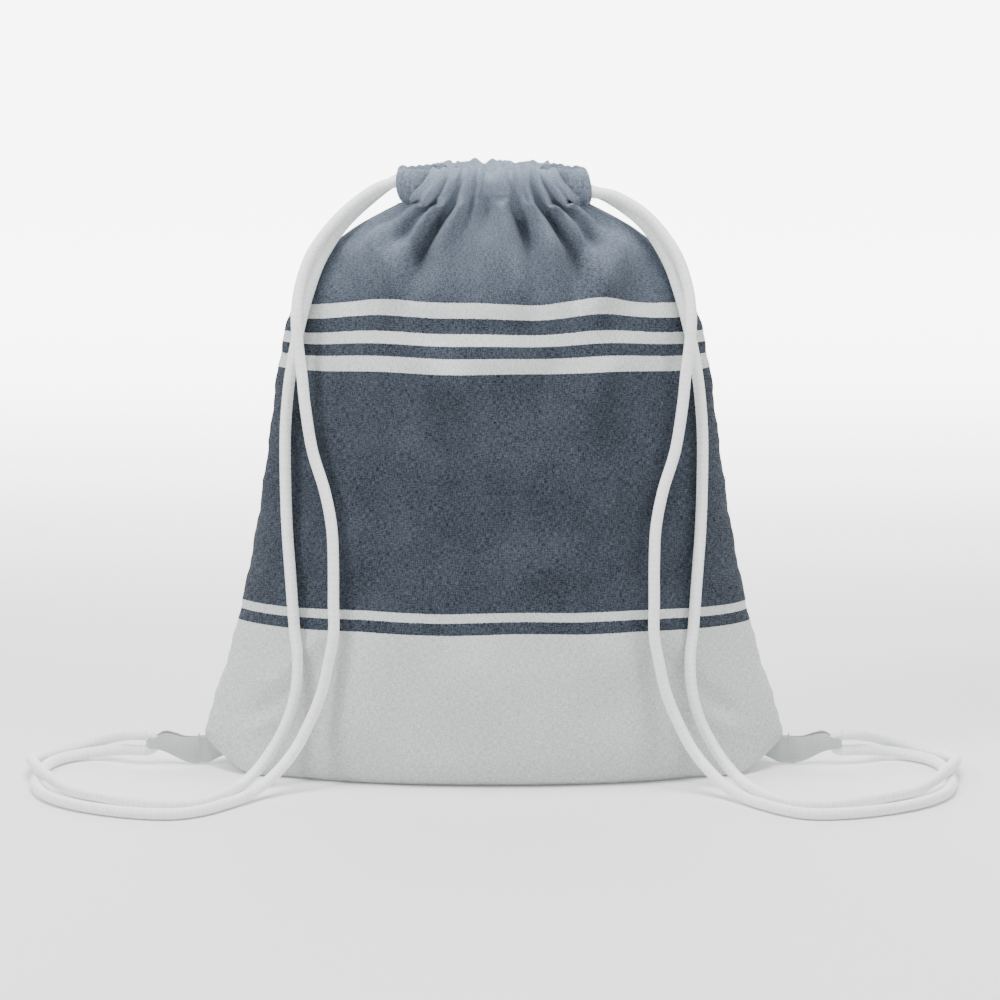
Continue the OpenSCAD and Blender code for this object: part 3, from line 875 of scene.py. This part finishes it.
def tape_height(x, y):
    """Top and bottom of the tape at a point of its loop, in millimetres."""
    along = np.clip((-x - TAB_ROOT_X) / (EYE_X - TAB_ROOT_X), 0, 1)
    table = np.array([(1.2, 17.0), (1.0, 16.6), (2.6, 16.8), (5.6, 18.4), (8.6, 19.2), (10.2, 16.4)])
    low, high = catmull(table, [along * (len(table) - 1)])[0]
    low += 0.5 * max(0, TAB_ROOT_X - 3 + x)
    # Where the tape passes inside the bend of the cord it is bunched into the gap.
    dx = max(0.0, BIGHT_X + x)
    if -x > EYE_X and abs(y) < CORD_R:
        inner = BIGHT_R - math.sqrt(CORD_R**2 - y * y)
        room = math.sqrt(max(1.0, inner * inner - dx * dx)) - 0.12
        blend = float(smooth(EYE_X, EYE_X + 1.6, -x))
        low += (max(low, BIGHT_Z - room) - low) * blend
        high += (min(high, BIGHT_Z + room) - high) * blend
    return low, high


class BACKPACK_OT_tabs(bpy.types.Operator):
    """Make the folded tape tabs that hold the cords at the bottom corners"""

    bl_idname = "backpack.tabs"
    bl_label = "Make tabs"

    def execute(self, context):
        c = settings("backpack_tabs")
        for side in SIDES:
            s = SIDES[side]
            line = tab_loop()
            steps = 15
            verts = []
            for k, (x, y) in enumerate(line):
                low, high = tape_height(x, y)
                t = np.linspace(0, 1, steps)
                # The tape cups a little, and its lower edge curls under.
                cup = 1.1 * np.sin(np.pi * t) - 1.2 * np.exp(-((t / 0.16) ** 2))
                free = float(smooth(TAB_ROOT_X, TAB_ROOT_X + 8, -x) * (1 - smooth(EYE_X - 8, EYE_X - 1, -x)))
                push = cup * free * (-1 if y < 0 else 1) * 0.8
                ripple = 0.18 * math.sin(k * 0.23) * free
                verts.append(np.stack([np.full(steps, x), y + push + ripple, low + (high - low) * t], 1))
            p = np.concatenate(verts)
            p[:, 0] *= s
            obj = new_mesh(side + "_tape_tab", p * MM, grid_faces(len(verts), steps))
            paint(obj, tape_material())
            solid = obj.modifiers.new("tape", "SOLIDIFY")
            solid.thickness = c.thickness
            solid.offset = 0
            round_edge = obj.modifiers.new("edge", "BEVEL")
            round_edge.width = 0.0002
            round_edge.segments = 2
            round_edge.limit_method = "ANGLE"
            finished(obj)
            obj.data.shade_smooth()
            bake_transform(obj)
            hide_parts(side + "_tab")
        return {"FINISHED"}


# ---------------------------------------------------------------------------
# Stitches and small frame parts
# ---------------------------------------------------------------------------


def stitch_tree():
    """Geometry Nodes that lay short thread stitches along a line."""
    tree = bpy.data.node_groups.new("stitches", "GeometryNodeTree")
    face = tree.interface
    face.new_socket("Geometry", in_out="INPUT", socket_type="NodeSocketGeometry")
    sockets = {}
    for name, kind, default in (
        ("Pitch", "NodeSocketFloat", 0.0036), ("Stitch", "NodeSocketFloat", 0.0026),
        ("Thread", "NodeSocketFloat", 0.0006), ("Material", "NodeSocketMaterial", None),
    ):
        socket = face.new_socket(name, in_out="INPUT", socket_type=kind)
        if default is not None:
            socket.default_value = default
        sockets[name] = socket.identifier
    face.new_socket("Geometry", in_out="OUTPUT", socket_type="NodeSocketGeometry")
    given = add_node(tree, "NodeGroupInput")
    curve = add_node(tree, "GeometryNodeMeshToCurve", None, {"Mesh": given.outputs["Geometry"]})
    spaced = add_node(tree, "GeometryNodeResampleCurve", None,
                      {"Curve": curve.outputs[0], "Length": given.outputs["Pitch"]}, mode="LENGTH")
    tangent = add_node(tree, "GeometryNodeInputTangent")
    turned = add_node(tree, "FunctionNodeAlignRotationToVector", None, {"Vector": tangent.outputs[0]},
                      axis="Z")
    half = add_node(tree, "ShaderNodeMath", {1: 0.5}, {0: given.outputs["Thread"]}, operation="MULTIPLY")
    rod = add_node(tree, "GeometryNodeMeshUVSphere", {"Segments": 8, "Rings": 6}, {"Radius": half.outputs[0]})
    ratio = add_node(tree, "ShaderNodeMath", None, {0: given.outputs["Stitch"], 1: given.outputs["Thread"]},
                     operation="DIVIDE")
    size = add_node(tree, "ShaderNodeCombineXYZ", {"X": 1.0, "Y": 1.0}, {"Z": ratio.outputs[0]})
    placed = add_node(tree, "GeometryNodeInstanceOnPoints", None,
                      {"Points": spaced.outputs[0], "Instance": rod.outputs[0], "Rotation": turned.outputs[0],
                       "Scale": size.outputs[0]})
    real = add_node(tree, "GeometryNodeRealizeInstances", None, {"Geometry": placed.outputs[0]})
    dyed = add_node(tree, "GeometryNodeSetMaterial", None,
                    {"Geometry": real.outputs[0], "Material": given.outputs["Material"]})
    add_node(tree, "NodeGroupOutput", None, {"Geometry": dyed.outputs[0]})
    return tree, sockets


class BACKPACK_OT_stitches(bpy.types.Operator):
    """Stitch the hem along the lower edge of the casing, front and back"""

    bl_idname = "backpack.stitches"
    bl_label = "Make hem stitches"

    def execute(self, context):
        c = settings("backpack_stitches")
        shades = settings("backpack_colours")
        thread = thread_material("blue_sewing_thread", shades.blue_light, shades.blue_thread)
        tree, sockets = stitch_tree()
        across = np.linspace(-0.86, 0.86, 400)
        row = HEM_ROW - 0.25
        rows = np.array([row - 0.02, row, row + 0.02])
        for which, node in (("front", "front_hem_stitch"), ("back", "back_hem_stitch")):
            outward, gathers, folds, notches, seed = PANELS[which]
            name = which + "_hem_thread"
            points, normal, _ = cloth_surface(across, rows, gathers, folds, notches, seed)
            line = points[1] + normal[1] * (c.thread / MM * 0.12)
            line[:, 1] *= outward
            mesh = bpy.data.meshes.new(name)
            mesh.from_pydata([tuple(p) for p in line * MM], [(k, k + 1) for k in range(len(line) - 1)], [])
            obj = bpy.data.objects.new(name, mesh)
            context.scene.collection.objects.link(obj)
            maker = obj.modifiers.new("stitches", "NODES")
            maker.node_group = tree
            maker[sockets["Pitch"]] = c.pitch
            maker[sockets["Stitch"]] = c.stitch
            maker[sockets["Thread"]] = c.thread
            maker[sockets["Material"]] = thread
            finished(obj)
            paint(obj, thread)
            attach(obj, "bag")
            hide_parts(node)
        return {"FINISHED"}


class BACKPACK_OT_frame_finish(bpy.types.Operator):
    """Give the CAD parts that stay visible their cotton and thread finishes"""

    bl_idname = "backpack.frame_finish"
    bl_label = "Finish frame parts"

    def execute(self, context):
        c = settings("backpack_colours")
        tack = thread_material("white_sewing_thread", c.white_dark, c.white_light)
        for names, material in (
            (("left_seam", "right_seam", "bottom_seam"), seam_material()),
            (("left_tab_tack", "right_tab_tack"), tack),
        ):
            for name in names:
                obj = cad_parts[name]
                for one in obj.material_slots:
                    one.link = "OBJECT"
                    one.material = material
        return {"FINISHED"}


def seam_material():
    """Overlocked cotton edge: pale thread loops over the raw cloth, 2.5 mm apart."""
    material, tree = empty_material("overlocked_cotton_edge")
    if tree is None:
        return material
    c = settings("backpack_colours")
    point = add_node(tree, "ShaderNodeTexCoord")
    loop = add_node(tree, "ShaderNodeTexWave", {"Scale": 125.0, "Distortion": 1.0},
                    {"Vector": point.outputs["Object"]}, bands_direction="Z")
    base = add_node(tree, "ShaderNodeMix", None, {"Factor": loop.outputs["Fac"]}, data_type="RGBA")
    base.inputs[6].default_value = c.blue_light
    base.inputs[7].default_value = c.white_light
    shader = add_node(tree, "ShaderNodeBsdfPrincipled", {"Roughness": 0.9, "Sheen Weight": 0.2},
                      {"Base Color": base.outputs[2]})
    add_node(tree, "ShaderNodeOutputMaterial", None, {"Surface": shader.outputs[0]})
    return material


# ---------------------------------------------------------------------------
# Stage
# ---------------------------------------------------------------------------


class BACKPACK_OT_stage(bpy.types.Operator):
    """Make the camera, the soft studio lights, the pale floor and the white backdrop"""

    bl_idname = "backpack.stage"
    bl_label = "Make stage"

    def execute(self, context):
        scene = context.scene
        camera = bpy.data.cameras.new("camera")
        camera.lens = CAMERA_LENS
        camera.sensor_width = CAMERA_SENSOR
        camera.clip_end = 50
        view = bpy.data.objects.new("camera", camera)
        scene.collection.objects.link(view)
        lift = math.radians(CAMERA_LIFT)
        away = Vector((0, -math.cos(lift), math.sin(lift)))
        view.location = Vector(CAMERA_TARGET) + away * CAMERA_DISTANCE
        view.rotation_euler = away.to_track_quat("Z", "Y").to_euler()
        scene.camera = view

        for name, place, aim, size, power in LIGHTS:
            light = bpy.data.lights.new(name, "AREA")
            light.shape = "SQUARE"
            light.size = size
            light.energy = power
            lamp = bpy.data.objects.new(name, light)
            scene.collection.objects.link(lamp)
            lamp.location = place
            lamp.rotation_euler = (Vector(place) - Vector(aim)).to_track_quat("Z", "Y").to_euler()

        world = bpy.data.worlds.new("white_studio")
        world.use_nodes = True
        sky = world.node_tree.nodes["Background"]
        sky.inputs["Color"].default_value = WHITE
        sky.inputs["Strength"].default_value = SKY_STRENGTH
        scene.world = world

        # Floor and backdrop are one sheet that curves up behind the object.
        radius, reach, high = 1.2, 2.2, 2.6
        profile = [(-4.0, 0.0), (reach, 0.0)]
        for a in np.linspace(0, np.pi / 2, 24)[1:]:
            profile.append((reach + radius * math.sin(a), radius - radius * math.cos(a)))
        profile.append((reach + radius, high))
        points = [(x, y, z) for y, z in profile for x in (-4.0, 4.0)]
        floor = new_mesh("floor", points, grid_faces(len(profile), 2))
        material, tree = empty_material("white_paper_roll")
        # The backdrop glows behind, as a lit paper roll does. The floor near the bag glows only faintly.
        point = add_node(tree, "ShaderNodeTexCoord")
        where = add_node(tree, "ShaderNodeSeparateXYZ", None, {"Vector": point.outputs["Object"]})
        far = add_node(tree, "ShaderNodeMapRange",
                       {"From Min": 0.2, "From Max": 1.8, "To Min": 0.15, "To Max": 6.0},
                       {"Value": where.outputs[1]}, interpolation_type="SMOOTHSTEP")
        shader = add_node(tree, "ShaderNodeBsdfPrincipled",
                          {"Base Color": linear("#dcdcdc"), "Roughness": 0.9, "Emission Color": WHITE},
                          {"Emission Strength": far.outputs[0]})
        add_node(tree, "ShaderNodeOutputMaterial", None, {"Surface": shader.outputs[0]})
        paint(floor, material)
        return {"FINISHED"}


class BACKPACK_PT_panel(bpy.types.Panel):
    """Lists the steps that build the backpack"""

    bl_idname = "BACKPACK_PT_panel"
    bl_label = "Backpack"
    bl_space_type = "VIEW_3D"
    bl_region_type = "UI"
    bl_category = "Backpack"

    def draw(self, context):
        for group in GROUPS:
            box = self.layout.box()
            for key in GROUPS[group].__annotations__:
                box.prop(getattr(context.scene, group), key)
        for step in STEPS:
            self.layout.operator(step.bl_idname)


GROUPS = {
    "backpack_cloth": BackpackCloth,
    "backpack_cords": BackpackCords,
    "backpack_tabs": BackpackTabs,
    "backpack_stitches": BackpackStitches,
    "backpack_colours": BackpackColours,
}
STEPS = (
    BACKPACK_OT_stage, BACKPACK_OT_cords, BACKPACK_OT_cloth, BACKPACK_OT_tabs, BACKPACK_OT_stitches,
    BACKPACK_OT_frame_finish,
)
CLASSES = (*GROUPS.values(), *STEPS, BACKPACK_PT_panel)


def register():
    for item in CLASSES:
        bpy.utils.register_class(item)
    for name, group in GROUPS.items():
        setattr(bpy.types.Scene, name, bpy.props.PointerProperty(type=group))


def unregister():
    for name in GROUPS:
        delattr(bpy.types.Scene, name)
    for item in reversed(CLASSES):
        bpy.utils.unregister_class(item)


def main():
    register()
    bpy.ops.backpack.stage()
    bpy.ops.backpack.cords()
    bpy.ops.backpack.cloth()
    bpy.ops.backpack.tabs()
    bpy.ops.backpack.stitches()
    bpy.ops.backpack.frame_finish()


if __name__ == "__main__":
    main()
